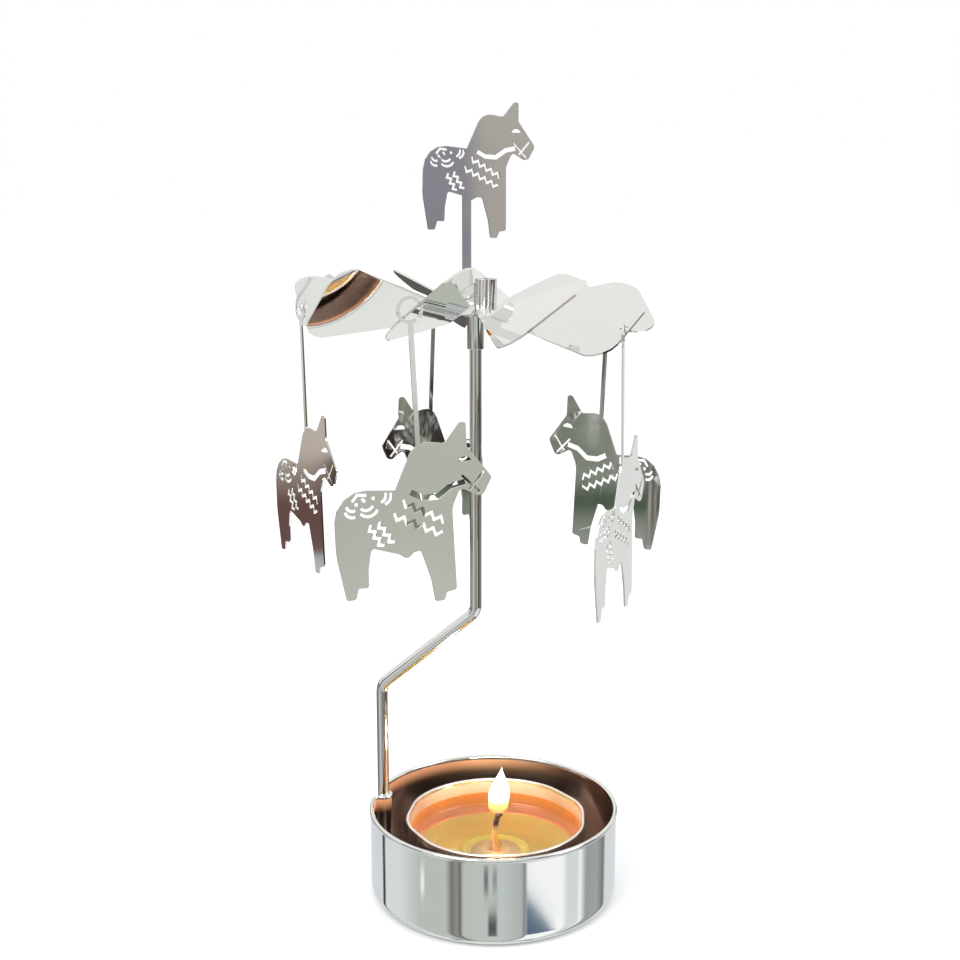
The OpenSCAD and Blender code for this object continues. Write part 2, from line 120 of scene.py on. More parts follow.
# %% [markdown]
# ## Helpers for making pieces
#
# Most of the pieces are turned or pressed from round stock, so one helper spins a
# profile round an upright axis. Another finishes a bmesh as an object whose place is
# in its mesh, hides the part it stands for, and hangs it on the body it rides on.

# %% Helpers for making pieces
def mesh_of(bm, name, material):
    """Turns a bmesh into a mesh with one material."""
    mesh = bpy.data.meshes.new(name)
    bm.to_mesh(mesh)
    bm.free()
    mesh.materials.append(material)
    return mesh


def finish_piece(bm, name, material, body, node=None):
    """Turns a bmesh into a piece that rides on a body and may stand for a part."""
    bmesh.ops.remove_doubles(bm, verts=bm.verts, dist=1e-7)
    bmesh.ops.recalc_face_normals(bm, faces=bm.faces)
    if bm.calc_volume(signed=True) < 0:
        bmesh.ops.reverse_faces(bm, faces=bm.faces)
    mesh = mesh_of(bm, name, material)
    for face in mesh.polygons:
        face.use_smooth = True
    piece = add_object(name, mesh)
    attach(piece, body)
    if node:
        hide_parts(node)
    print(name, len(mesh.polygons), "faces")
    return piece


def spin_profile(bm, points, centre, steps):
    """Spins (radius, height) points once round the upright axis through centre."""
    verts = [bm.verts.new((centre.x + r, centre.y, centre.z + z)) for r, z in points]
    edges = [bm.edges.new(pair) for pair in zip(verts, verts[1:])]
    bmesh.ops.spin(bm, geom=verts + edges, cent=centre, axis=(0, 0, 1), angle=2 * pi,
                   steps=steps, use_merge=True, use_duplicate=False)
    bmesh.ops.remove_doubles(bm, verts=bm.verts, dist=1e-6)


def arc_points(cx, cz, radius, start, end, steps):
    """Points of an arc as (radius, height) pairs, angles in degrees."""
    return [(cx + radius * cos(radians(start + (end - start) * k / steps)),
             cz + radius * sin(radians(start + (end - start) * k / steps)))
            for k in range(steps + 1)]


def soften_edges(piece, width, segments=2, angle=30):
    """Rounds the sharp edges of a thin sheet so that they catch the light."""
    bevel = piece.modifiers.new("edge", "BEVEL")
    bevel.width = width
    bevel.segments = segments
    bevel.limit_method = "ANGLE"
    bevel.angle_limit = radians(angle)
    bevel.harden_normals = True


# %% [markdown]
# ## Helpers for materials
#
# Several finishes change with height or run through a row of colours, and nearly all of
# them start from the same shader. These helpers hold those steps, so that each material
# below says only what is its own. A colour that is the same all over goes straight on
# the shader.

# %% Helpers for materials
def new_material(name):
    """A material, with its nodes, its links and its shader at hand."""
    material = bpy.data.materials.new(name)
    material.use_nodes = True
    tree = material.node_tree
    return material, tree.nodes, tree.links, tree.nodes["Principled BSDF"]


def height_share(nodes, links, start, end):
    """A range that runs from 0 to 1 between two heights, and the split place it reads."""
    place = nodes.new("ShaderNodeTexCoord")
    split = nodes.new("ShaderNodeSeparateXYZ")
    rise = nodes.new("ShaderNodeMapRange")
    rise.inputs["From Min"].default_value = start
    rise.inputs["From Max"].default_value = end
    links.new(place.outputs["Object"], split.inputs["Vector"])
    links.new(split.outputs["Z"], rise.inputs["Value"])
    return rise, split


def colour_ramp(nodes, links, share, stops):
    """A ramp of (place, colour) stops, of which the first two move the ramp's own two."""
    ramp = nodes.new("ShaderNodeValToRGB")
    points = ramp.color_ramp.elements
    for k, (place, colour) in enumerate(stops):
        point = points[k] if k < 2 else points.new(place)
        point.position = place
        point.color = (*colour, 1)
    links.new(share, ramp.inputs["Fac"])
    return ramp.outputs["Color"]


def mix_colour(nodes, links, share, under, over):
    """Mixes two colours, each of them either a socket or a plain colour."""
    mix = nodes.new("ShaderNodeMix")
    mix.data_type = "RGBA"
    links.new(share, mix.inputs[0])
    for socket, colour in ((mix.inputs[6], under), (mix.inputs[7], over)):
        if isinstance(colour, tuple):
            socket.default_value = (*colour, 1)
        else:
            links.new(colour, socket)
    return mix.outputs[2]


def times(nodes, links, one, two):
    """Multiplies two shares."""
    product = nodes.new("ShaderNodeMath")
    product.operation = "MULTIPLY"
    links.new(one, product.inputs[0])
    links.new(two, product.inputs[1])
    return product.outputs["Value"]


# %% [markdown]
# ## Bright plate
#
# Chrome plate is a mirror with almost no colour of its own. What makes it look real is
# what is slightly wrong with it: faint rubbing that varies the gloss, a little waviness
# in the sheet, and duller edges. One node group works the rubbing out from Object
# coordinates and each metal uses it with its own values.

# %% The rubbed plate group
def make_plate_group():
    group = bpy.data.node_groups.new("rubbed_plate", "ShaderNodeTree")
    face = group.interface
    face.new_socket("Vector", in_out="INPUT", socket_type="NodeSocketVector")
    for label, value in (("Scale", 60), ("Gloss low", 0.03), ("Gloss high", 0.12), ("Wave", 0.1)):
        socket = face.new_socket(label, in_out="INPUT", socket_type="NodeSocketFloat")
        socket.default_value = value
    tint_in = face.new_socket("Tint", in_out="INPUT", socket_type="NodeSocketColor")
    tint_in.default_value = (0.86, 0.87, 0.86, 1)
    face.new_socket("Color", in_out="OUTPUT", socket_type="NodeSocketColor")
    face.new_socket("Roughness", in_out="OUTPUT", socket_type="NodeSocketFloat")
    face.new_socket("Normal", in_out="OUTPUT", socket_type="NodeSocketVector")
    nodes, links = group.nodes, group.links
    start = nodes.new("NodeGroupInput")
    end = nodes.new("NodeGroupOutput")

    patches = nodes.new("ShaderNodeTexNoise")
    patches.inputs["Detail"].default_value = 5
    links.new(start.outputs["Vector"], patches.inputs["Vector"])
    links.new(start.outputs["Scale"], patches.inputs["Scale"])
    spread = nodes.new("ShaderNodeMapRange")
    spread.inputs["From Min"].default_value = 0.35
    spread.inputs["From Max"].default_value = 0.75
    links.new(patches.outputs["Fac"], spread.inputs["Value"])
    links.new(start.outputs["Gloss low"], spread.inputs["To Min"])
    links.new(start.outputs["Gloss high"], spread.inputs["To Max"])
    links.new(spread.outputs["Result"], end.inputs["Roughness"])

    stain = nodes.new("ShaderNodeMix")
    stain.data_type = "RGBA"
    stain.blend_type = "MULTIPLY"
    stain.inputs[7].default_value = (0.90, 0.90, 0.92, 1)
    links.new(patches.outputs["Fac"], stain.inputs[0])
    links.new(start.outputs["Tint"], stain.inputs[6])
    links.new(stain.outputs[2], end.inputs["Color"])

    waves = nodes.new("ShaderNodeTexNoise")
    waves.inputs["Detail"].default_value = 1
    waves.inputs["Scale"].default_value = 90
    links.new(start.outputs["Vector"], waves.inputs["Vector"])
    bump = nodes.new("ShaderNodeBump")
    bump.inputs["Distance"].default_value = 0.0002
    links.new(start.outputs["Wave"], bump.inputs["Strength"])
    links.new(waves.outputs["Fac"], bump.inputs["Height"])
    links.new(bump.outputs["Normal"], end.inputs["Normal"])
    return group


plate_group = make_plate_group()


def plate(name, tint, gloss, scale=60, wave=0.1):
    """A plated metal with its own tint, range of roughness and waviness."""
    material, nodes, links, shader = new_material(name)
    shader.inputs["Metallic"].default_value = 1
    place = nodes.new("ShaderNodeTexCoord")
    rub = nodes.new("ShaderNodeGroup")
    rub.node_tree = plate_group
    rub.inputs["Tint"].default_value = (*tint, 1)
    rub.inputs["Scale"].default_value = scale
    rub.inputs["Gloss low"].default_value = gloss[0]
    rub.inputs["Gloss high"].default_value = gloss[1]
    rub.inputs["Wave"].default_value = wave
    links.new(place.outputs["Object"], rub.inputs["Vector"])
    links.new(rub.outputs["Color"], shader.inputs["Base Color"])
    links.new(rub.outputs["Roughness"], shader.inputs["Roughness"])
    links.new(rub.outputs["Normal"], shader.inputs["Normal"])
    return material


dish_plate = plate("dish_plate", (0.86, 0.88, 0.86), (0.03, 0.09), scale=45, wave=0.06)
# Painted dark reflection: the inside is the same chrome as the outside, darkened and browned in its colour
dish_inside_painted_reflection_and_glow = plate("dish_inside_painted_reflection_and_glow", (0.55, 0.46, 0.41), (0.14, 0.26), scale=45, wave=0.06)
rod_plate = plate("rod_plate", (0.84, 0.85, 0.84), (0.05, 0.12), scale=160, wave=0.1)
wheel_plate = plate("wheel_plate", (0.88, 0.88, 0.86), (0.006, 0.03), scale=70, wave=0.03)
hub_plate = plate("hub_plate", (0.82, 0.83, 0.82), (0.08, 0.16), scale=220, wave=0.1)
horse_plate = plate("horse_plate", (0.85, 0.85, 0.82), (0.05, 0.12), scale=90, wave=0.03)
foil = plate("foil", (0.88, 0.87, 0.85), (0.16, 0.32), scale=150, wave=0.25)
foil_wall = plate("foil_wall", (0.52, 0.24, 0.09), (0.50, 0.60), scale=150, wave=0.12)
foil_floor = plate("foil_floor", (0.48, 0.49, 0.07), (0.48, 0.58), scale=150, wave=0.12)
tin = plate("tin", (0.62, 0.56, 0.48), (0.3, 0.5), scale=300, wave=0.3)
print("metals", [m.name for m in (dish_plate, rod_plate, wheel_plate, hub_plate, horse_plate)])


# %% [markdown]
# ## Tints and painted light that change with height
#
# The cup's foil looks orange where wax wets it and stays pale above. The dish's inside
# is the same chrome as its outside, but it mirrors dark things, so its darkness is a
# painted dark reflection in its plate, and under its rim the flame's light is painted in
# as a warm glow. Both are one plate whose colour changes between two heights. The glow is
# painted light written into the dish's own plate, so it doesn't depend on what the plate
# happens to mirror.

# %% Tints and painted light that change with height
# Painted light: the colour of the flame's glow, painted onto the dish's inside by emission
FLAME_GLOW = (1.0, 0.42, 0.20)
# The glow fades out from left to right between these two places
glow_full = -4 * MM
glow_gone = 16 * MM


def tint_and_painted_light_by_height(material, start, end, above, glow=0):
    """Changes a plate's colour between two heights, and may paint a glow of light onto the upper one."""
    nodes, links = material.node_tree.nodes, material.node_tree.links
    shader = nodes["Principled BSDF"]
    below = shader.inputs["Base Color"].links[0].from_socket
    rise, split = height_share(nodes, links, start, end)
    rise.interpolation_type = "SMOOTHSTEP"
    links.new(mix_colour(nodes, links, rise.outputs["Result"], below, above), shader.inputs["Base Color"])
    if glow:
        left = nodes.new("ShaderNodeMapRange")
        left.inputs["From Min"].default_value = glow_gone
        left.inputs["From Max"].default_value = glow_full
        left.inputs["To Max"].default_value = glow
        links.new(split.outputs["X"], left.inputs["Value"])
        lit = times(nodes, links, rise.outputs["Result"], left.outputs["Result"])
        links.new(lit, shader.inputs["Emission Strength"])
        shader.inputs["Emission Color"].default_value = (*FLAME_GLOW, 1)


tint_and_painted_light_by_height(foil_wall, wax_high.z - 0.2 * MM, wax_high.z + 0.1 * MM, (0.42, 0.33, 0.31))
# The dish's inside: a painted dark reflection below, painted warm flame light and glow under the rim
tint_and_painted_light_by_height(dish_inside_painted_reflection_and_glow, dish_height - 4.0 * MM, dish_height - 0.8 * MM, (1.0, 0.74, 0.55), 0.7)
print("tinted by height", foil_wall.name, dish_inside_painted_reflection_and_glow.name)


# %% [markdown]
# ## The dish
#
# The real dish is pressed from one disc: a flat floor, a rounded corner, an upright
# wall and a rim rolled over a bead. At the rod the wall and its rim swing inwards in an
# S and go round the rod, which stands in the notch. So the section isn't spun but
# carried round two plans at once: a plain circle for the floor, and the notched line
# for the wall. Between the two heights each point passes from one plan to the other.

# %% The plan of the wall
wall_middle = dish_radius - dish_wall / 2
notch_gap = 0.05 * MM
notch_radius = rod_radius + notch_gap + dish_wall / 2
mouth_radius = 1.1 * MM
mouth_steps = 8
notch_steps = 16
wall_steps = 252


def notch_line():
    """The notch as (out, across, normal out, normal across), seen from the dish's middle."""
    across = notch_radius + mouth_radius
    out = sqrt((wall_middle - mouth_radius) ** 2 - across ** 2)
    half = atan2(across, out)
    line = []
    for k in range(mouth_steps + 1):
        turn = -half + (pi / 2 + half) * k / mouth_steps
        line.append((out + mouth_radius * cos(turn), mouth_radius * sin(turn) - across,
                     cos(turn), sin(turn)))
    for k in range(notch_steps + 1):
        turn = -pi / 2 - pi * k / notch_steps
        line.append((rod_foot.xy.length + notch_radius * cos(turn), notch_radius * sin(turn),
                     -cos(turn), -sin(turn)))
    for k in range(mouth_steps + 1):
        turn = -pi / 2 + (pi / 2 + half) * k / mouth_steps
        line.append((out + mouth_radius * cos(turn), across + mouth_radius * sin(turn),
                     cos(turn), sin(turn)))
    return line, half


def plan_stations():
    """Stations round the wall as (round normal, notched place, notched normal)."""
    line, half = notch_line()
    heading = atan2(rod_foot.y, rod_foot.x)
    lengths = [0]
    for one, two in zip(line, line[1:]):
        lengths.append(lengths[-1] + hypot(two[0] - one[0], two[1] - one[1]))
    stations = []
    for (out, across, n_out, n_across), length in zip(line, lengths):
        angle = heading - half + 2 * half * length / lengths[-1]
        turn = Matrix.Rotation(heading, 2)
        stations.append((Vector((cos(angle), sin(angle))), turn @ Vector((out, across)),
                         turn @ Vector((n_out, n_across))))
    for k in range(1, wall_steps):
        angle = heading + half + (2 * pi - 2 * half) * k / wall_steps
        normal = Vector((cos(angle), sin(angle)))
        stations.append((normal, normal * wall_middle, normal))
    print("wall stations", len(stations))
    return stations


# %% The dish
# The wall starts to leave the round plan at this height and has left it this much higher
press_from = 2.0 * MM
press_over = 1.6 * MM
# Beside the rod the bead is flattened, so that this much air stays between them
rod_clear = 0.04 * MM


def dish_profile():
    """The pressed section from the middle of the floor, up outside, and back inside."""
    r, h, c, w = dish_radius, dish_height, dish_corner, dish_wall
    rows = [c + 0.3 * MM * k for k in range(1, 6)] + [(c + (h - c) * k / 8) for k in range(3, 7)]
    rows += [h - 2 * dish_bead - 0.15 * MM, h - 2 * dish_bead]
    outside = [(0, 0), (r * 0.5, 0)] + arc_points(r - c, c, c, -90, 0, 10)
    outside += [(r, z) for z in rows]
    bead = arc_points(r - w / 2, h - dish_bead, dish_bead, -50, 230, 14)
    inside = [(r - w, z) for z in rows[::-1]]
    inside += arc_points(r - c, c, c - w, 0, -90, 8) + [(r * 0.5, w), (0, w)]
    return outside + bead + inside


def make_dish():
    bm = bmesh.new()
    profile = dish_profile()
    rings = []
    for normal, place, turned in plan_stations():
        in_notch = place.length < wall_middle * 0.99
        ring = []
        for radius, z in profile:
            off = radius - wall_middle
            share = min(1, max(0, (z - press_from) / press_over))
            share = share * share * (3 - 2 * share)
            kept = min(off, notch_radius - rod_radius - rod_clear) if in_notch else off
            flat = (normal * radius).lerp(place + turned * kept, share)
            ring.append(bm.verts.new((flat.x, flat.y, z)))
        rings.append(ring)
    for one, two in zip(rings, rings[1:] + rings[:1]):
        for k in range(len(profile) - 1):
            bm.faces.new((one[k], two[k], two[k + 1], one[k + 1]))
    piece = finish_piece(bm, "pressed_dish", dish_plate, "stand", "base_dish")
    # The inside of the wall and the floor take the rougher plate, painted dark as a reflection and with a
    # painted flame glow under the rim, up to the bead
    piece.data.materials.append(dish_inside_painted_reflection_and_glow)
    for face in piece.data.polygons:
        low = face.center.z < dish_height - 2 * dish_bead
        inwards = face.normal.xy.dot(face.center.xy) < -0.2 * face.center.xy.length
        notched = (face.center.xy - rod_foot.xy).length < notch_radius + dish_wall
        side = face.normal.xy.dot(face.center.xy - rod_foot.xy) > 0
        if low and ((inwards and not notched) or (notched and side) or
                    (face.normal.z > 0.5 and face.center.z > 0)):
            face.material_index = 1


make_dish()


# %% [markdown]
# ## The rod
#
# A rod is a circle carried along a path. The path runs up from the notch, leans in over
# the tealight and turns upright again below the wheel, and both bends are true arcs. A
# circle is set at each place on the path, turned to face along it, and bridged to the
# one before. The last is small, which draws the end down to the wheel's point.

# %% The rod
def sweep_round(bm, path, radii, sides=32):
    """Carries a ring of the given radius along a path and closes both ends."""
    path = [Vector(p) for p in path]
    side = (path[1] - path[0]).orthogonal().normalized()
    for k, place in enumerate(path):
        ahead = (path[min(k + 1, len(path) - 1)] - path[max(k - 1, 0)]).normalized()
        side = (side - ahead * side.dot(ahead)).normalized()
        across = ahead.cross(side)
        turn = Matrix((side, across, ahead)).transposed().to_4x4()
        made = bmesh.ops.create_circle(bm, segments=sides, radius=radii[k],
                                       matrix=Matrix.Translation(place) @ turn)
        if k:
            loops = list({e for v in made["verts"] for e in v.link_edges})
            bmesh.ops.bridge_loops(bm, edges=loops + last)
        last = list({e for v in made["verts"] for e in v.link_edges if e.is_boundary or e.is_wire})
        if k in (0, len(path) - 1):
            bmesh.ops.contextual_create(bm, geom=made["verts"])


def bend_points(before, at, after, radius, steps=8):
    """The arc that rounds the corner at a point of a path."""
    a, b = (before - at).normalized(), (after - at).normalized()
    half = a.angle(b) / 2
    reach = radius / tan(half)
    middle = at + (a + b).normalized() * radius / sin(half)
    start, end = at + a * reach - middle, at + b * reach - middle
    turn, about = start.angle(end), start.cross(end)
    return [middle + Matrix.Rotation(turn * k / steps, 3, about) @ start for k in range(steps + 1)]


rod_low_bend = 43.7 * MM
rod_high_bend = 61.3 * MM
rod_bend = 3.2 * MM
rod_point = 3 * MM
rod_tip = 0.2 * MM


def make_rod():
    foot = rod_foot.copy()
    low = Vector((foot.x, foot.y, rod_low_bend))
    high = Vector((axis_x, 0, rod_high_bend))
    top = Vector((axis_x, 0, rod_top))
    path = [foot, foot + Vector((0, 0, rod_bend))] + bend_points(foot, low, high, rod_bend)
    path += bend_points(low, high, top, rod_bend)
    path += [top - Vector((0, 0, rod_point * 1.2)), top - Vector((0, 0, rod_point)), top]
    radii = [rod_radius] * (len(path) - 1) + [rod_tip]
    bm = bmesh.new()
    sweep_round(bm, path, radii)
    piece = finish_piece(bm, "bent_rod", rod_plate, "post", "post")
    soften_edges(piece, 0.08 * MM, 2, 35)


make_rod()


# %% [markdown]
# ## The hub
#
# The sleeve under the wheel is turned, with a flange that the sheet rests on and a
# blind bore for the rod's point. The socket above is a short tube with a slot down one
# side. Both are spun from their sections, the tube through the angle that its slot
# leaves.

# %% The hub
sleeve_flange = 0.55 * MM
sleeve_bore = 1.325 * MM
sleeve_radius = 1.68 * MM
flange_radius = (sleeve_high.x - sleeve_low.x) / 2
sheet_thickness = 0.46 * MM
sheet_bottom = sleeve_high.z - sheet_thickness
turned_edge = 0.12 * MM


def make_sleeve():
    centre = Vector((axis_x, 0, 0))
    r, b, e = sleeve_radius, sleeve_bore, turned_edge
    low, flange = sleeve_low.z, sheet_bottom - sleeve_flange
    points = [(0, flange), (b, flange), (b, low + e), (b + e / 2, low)]
    points += [(r - e, low)] + arc_points(r - e, low + e, e, -90, 0, 3)
    points += [(r, flange - e), (r + e / 2, flange)]
    points += arc_points(flange_radius - e, flange + e, e, -90, 0, 3)
    points += arc_points(flange_radius - e, sheet_bottom - e, e, 0, 90, 3) + [(0, sheet_bottom)]
    bm = bmesh.new()
    spin_profile(bm, points, centre, steps=64)
    piece = finish_piece(bm, "turned_sleeve", hub_plate, "rotor", "bearing_sleeve")
    soften_edges(piece, 0.04 * MM)


make_sleeve()

tube_radius = 2.15 * MM
tube_wall = 0.4 * MM
tube_slot = 0.45 * MM
tube_edge = 0.1 * MM
# The top horse's sheet, and the slot that holds it, are turned from the front by this
tube_turn = 22


def make_socket():
    """A ring section spun through all but the slot, which faces the horse's stem."""
    # The slot opens to the left, so the tube's middle is one radius in from its right side
    centre = Vector((tube_high.x - tube_radius, (tube_low.y + tube_high.y) / 2, 0))
    half_slot = tube_slot / 2 / tube_radius
    start = pi + radians(tube_turn) + half_slot
    z0, z1, e = tube_low.z, tube_high.z, tube_edge
    section = [(tube_radius - tube_wall, z0), (tube_radius, z0), (tube_radius, z1 - e),
               (tube_radius - e, z1), (tube_radius - tube_wall + e, z1), (tube_radius - tube_wall, z1 - e)]
    bm = bmesh.new()
    verts = [bm.verts.new((centre.x + r * cos(start), centre.y + r * sin(start), z)) for r, z in section]
    face = bm.faces.new(verts)
    bmesh.ops.spin(bm, geom=[face], cent=centre, axis=(0, 0, 1), angle=2 * (pi - half_slot),
                   steps=56, use_merge=False, use_duplicate=False)
    piece = finish_piece(bm, "slotted_socket", hub_plate, "rotor", "figure_socket")
    soften_edges(piece, 0.03 * MM)


make_socket()


# %% [markdown]
# ## The stamped sheets
#
# The wheel and the horses are flat stampings, and their outlines, holes and twists are
# already true in the frame. They keep their meshes. Their triangles are welded so that
# a fine bevel can run along every cut edge, because it is that thin bright line that
# makes a stamping look like metal and not like paper.

# %% The stamped sheets
def dress_sheet(node, material, bevel):
    """Gives a packed sheet its finish, with its cut edges slightly rounded."""
    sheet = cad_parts[node]
    sheet.data.materials.clear()
    sheet.data.materials.append(material)
    weld = sheet.modifiers.new("weld", "WELD")
    weld.merge_threshold = 1e-6
    soften_edges(sheet, bevel, 1, 40)


for number in range(1, 6):
    dress_sheet(f"pendant_horse_{number}", horse_plate, 0.05 * MM)
dress_sheet("top_horse", horse_plate, 0.05 * MM)
dress_sheet("fan_wheel", wheel_plate, 0.06 * MM)
print("sheets dressed")


# %% [markdown]
# ## The tealight
#
# A tealight's cup is deep-drawn from thin foil, so its wall is fluted all the way round
# and its rim is curled over. This one has been pinched at two places. The cup is spun,
# and then each wall point is moved in by a small wave round the cup and by the flats of
# each pinch. The flutes fade out at the floor and at the rim.

# %% The tealight cup
cup_wall = 0.42 * MM
cup_corner = 1.2 * MM
cup_rim = 0.35 * MM
flute_count = 54
flute_depth = 0.07 * MM
# Shares of the cup's height at which the flutes are whole, end, and over which they end
flute_whole = 0.15
flute_end = 0.93
flute_fade = 0.12
# A pinch has two flats, this many degrees to either side of its crimp and this wide
pinch_depth = 0.45 * MM
pinch_crimps = (16, 190)
pinch_side = 20
pinch_width = 11
# A low ring is pressed into the floor round the wick's holder
floor_ring = 7.3 * MM
floor_ring_top = 0.2 * MM
floor_ring_foot = 0.6 * MM


def make_cup():
    r, h = cup_radius - cup_rim, cup_high.z - cup_low.z
    wall = [k / 10 for k in range(11)]
    points = [(0, 0), (r * 0.6, 0)] + arc_points(r - cup_corner, cup_corner, cup_corner, -90, 0, 5)
    rows = [cup_corner + (h - cup_rim * 2.4 - cup_corner) * k for k in wall]
    points += [(r, z) for z in rows[1:]]
    points += arc_points(r, h - cup_rim, cup_rim, -70, 200, 12)
    points += [(r - cup_wall, z) for z in rows[::-1]]
    points += arc_points(r - cup_corner, cup_corner, cup_corner - cup_wall, 0, -90, 5)
    points += [(floor_ring + floor_ring_foot, cup_wall), (floor_ring + floor_ring_top, cup_wall * 1.8)]
    points += [(floor_ring - floor_ring_top, cup_wall * 1.8), (floor_ring - floor_ring_foot, cup_wall)]
    points += [(0, cup_wall)]
    bm = bmesh.new()
    centre = Vector((cup_centre.x, cup_centre.y, cup_low.z))
    spin_profile(bm, points, centre, steps=324)
    for vert in bm.verts:
        flat = (vert.co - centre).xy
        if flat.length < r * 0.8:
            continue
        up = (vert.co.z - centre.z) / h
        for crimp in pinch_crimps:
            off = (atan2(flat.y, flat.x) - radians(crimp) + pi) % (2 * pi) - pi
            flats = sum(exp(-((off - radians(side)) / radians(pinch_width)) ** 2)
                        for side in (-pinch_side, pinch_side))
            vert.co.xy -= flat.normalized() * pinch_depth * flats * up * up
        fade = max(0, min(1, up / flute_whole, (flute_end - up) / flute_fade))
        wave = fade * flute_depth * (cos(flute_count * atan2(flat.y, flat.x)) - 1) / 2
        vert.co.xy += flat.normalized() * wave
    piece = finish_piece(bm, "fluted_cup", foil, "candle", "tealight_cup")
    # The inside of the wall and the floor look coloured through the wax
    piece.data.materials.append(foil_wall)
    piece.data.materials.append(foil_floor)
    for face in piece.data.polygons:
        out = face.center - centre
        inwards = face.normal.xy.dot(out.xy) < -0.2 * out.xy.length
        if out.z < h - 2.2 * cup_rim and inwards and out.xy.length > r * 0.8:
            face.material_index = 1
        elif out.z > cup_wall / 2 and out.z < cup_corner and face.normal.z > 0.2:
            face.material_index = 2


make_cup()


# %% [markdown]
# ## Molten wax, wick and its holder
#
# The candle has burned for a while, so all of its wax is clear and golden and the
# holder of the wick shows through it. The liquid is a spun solid whose surface climbs
# the foil in a fine edge. Light would leave a dark shadow under plain glass, so for
# shadow rays the wax is simply see-through.

# %% Wax and wick materials
def clear_wax():
    material, nodes, links, shader = new_material("clear_wax")
    shader.inputs["Roughness"].default_value = 0.02
    shader.inputs["IOR"].default_value = 1.43
    shader.inputs["Transmission Weight"].default_value = 1
    place = nodes.new("ShaderNodeTexCoord")
    cloud = nodes.new("ShaderNodeTexNoise")
    cloud.inputs["Scale"].default_value = 180
    links.new(place.outputs["Object"], cloud.inputs["Vector"])
    golden = colour_ramp(nodes, links, cloud.outputs["Fac"],
                         [(0, (0.97, 0.90, 0.62)), (1, (0.98, 0.94, 0.70))])
    links.new(golden, shader.inputs["Base Color"])
    through = nodes.new("ShaderNodeBsdfTransparent")
    through.inputs["Color"].default_value = (1, 0.93, 0.66, 1)
    path = nodes.new("ShaderNodeLightPath")
    choose = nodes.new("ShaderNodeMixShader")
    links.new(path.outputs["Is Shadow Ray"], choose.inputs["Fac"])
    links.new(shader.outputs["BSDF"], choose.inputs[1])
    links.new(through.outputs["BSDF"], choose.inputs[2])
    links.new(choose.outputs["Shader"], nodes["Material Output"].inputs["Surface"])
    return material


def charred_cotton():
    material, nodes, links, shader = new_material("charred_cotton")
    shader.inputs["Roughness"].default_value = 0.85
    rise = height_share(nodes, links, wax_high.z - 1.0 * MM, wax_high.z + 1.2 * MM)[0]
    charring = colour_ramp(nodes, links, rise.outputs["Result"],
                           [(0, (0.78, 0.62, 0.32)), (1, (0.018, 0.009, 0.008))])
    links.new(charring, shader.inputs["Base Color"])
    place = nodes.new("ShaderNodeTexCoord")
    fibre = nodes.new("ShaderNodeTexNoise")
    fibre.inputs["Scale"].default_value = 1500
    bump = nodes.new("ShaderNodeBump")
    bump.inputs["Distance"].default_value = 0.0002
    links.new(place.outputs["Object"], fibre.inputs["Vector"])
    links.new(fibre.outputs["Fac"], bump.inputs["Height"])
    links.new(bump.outputs["Normal"], shader.inputs["Normal"])
    return material


wax_material = clear_wax()
wick_material = charred_cotton()
print("made", wax_material.name, "and", wick_material.name)


# %% Wax, wick and holder
# The wax starts this far up, because the pool turned dark where it overlapped the foil
wax_gap = 0.3 * MM
wax_climb = 0.35 * MM
wax_corner = 0.8 * MM


def make_wax():
    r = (wax_high.x - wax_low.x) / 2
    z0, z1, climb = wax_low.z + wax_gap, wax_high.z, wax_climb
    centre = Vector((cup_centre.x, cup_centre.y, 0))
    points = [(0, z0), (r * 0.6, z0), (r - wax_corner, z0), (r, z0 + wax_corner), (r, z1)]
    points += [(r - climb * (1 - cos(a)), z1 - climb * sin(a)) for a in (0.4, 0.8, 1.2, 1.5)]
    points += [(r * 0.6, z1 - climb), (0, z1 - climb)]
    bm = bmesh.new()
    spin_profile(bm, points, centre, steps=96)
    finish_piece(bm, "molten_wax", wax_material, "candle", "wax")


def make_holder():
    low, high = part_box("wick_sustainer")
    centre = Vector((cup_centre.x, cup_centre.y, 0))
    r, neck, t = (high.x - low.x) / 2, 0.95 * MM, 0.3 * MM
    points = [(0, low.z), (r, low.z), (r, low.z + t), (r * 0.45, low.z + t)]
    points += [(neck * 1.5, low.z + t * 1.3), (neck, low.z + t * 2.6), (neck, high.z)]
    points += [(neck - 0.25 * MM, high.z), (neck - 0.25 * MM, low.z + t), (0, low.z + t)]
    bm = bmesh.new()
    spin_profile(bm, points, centre, steps=64)
    finish_piece(bm, "wick_holder", tin, "candle", "wick_sustainer")


wick_radius = 0.58 * MM
wick_steps = 60
wick_crossings = 15
# The share of its length from which the wick curls over
wick_curl_from = 0.72


def make_wick():
    """A plaited cotton cord: its radius swells with each crossing of the plait."""
    centre = Vector((cup_centre.x, cup_centre.y, 0))
    low, top = wick_low.z + 0.1 * MM, wick_high.z
    reach = wick_high.x - wick_low.x
    path, radii = [], []
    for k in range(wick_steps + 1):
        up = k / wick_steps
        curl = max(0, (up - wick_curl_from) / (1 - wick_curl_from))
        lean = -0.35 * MM * sin(pi * min(1, up / 0.8))
        rise = min(1, up / 0.9) * (1 - 0.06 * curl * curl)
        path.append(centre + Vector((lean + reach * 0.62 * curl ** 1.6, 0.1 * MM * sin(7 * up),
                                     low + (top - low - wick_radius) * rise)))
        plait = 1 + 0.10 * cos(2 * pi * up * wick_crossings)
        radii.append(wick_radius * plait * (1 if up < 0.93 else 1 - 0.5 * (up - 0.93) / 0.07))
    bm = bmesh.new()
    sweep_round(bm, path, radii, sides=14)
    finish_piece(bm, "plaited_wick", wick_material, "candle", "wick")


make_wax()
make_holder()
make_wick()


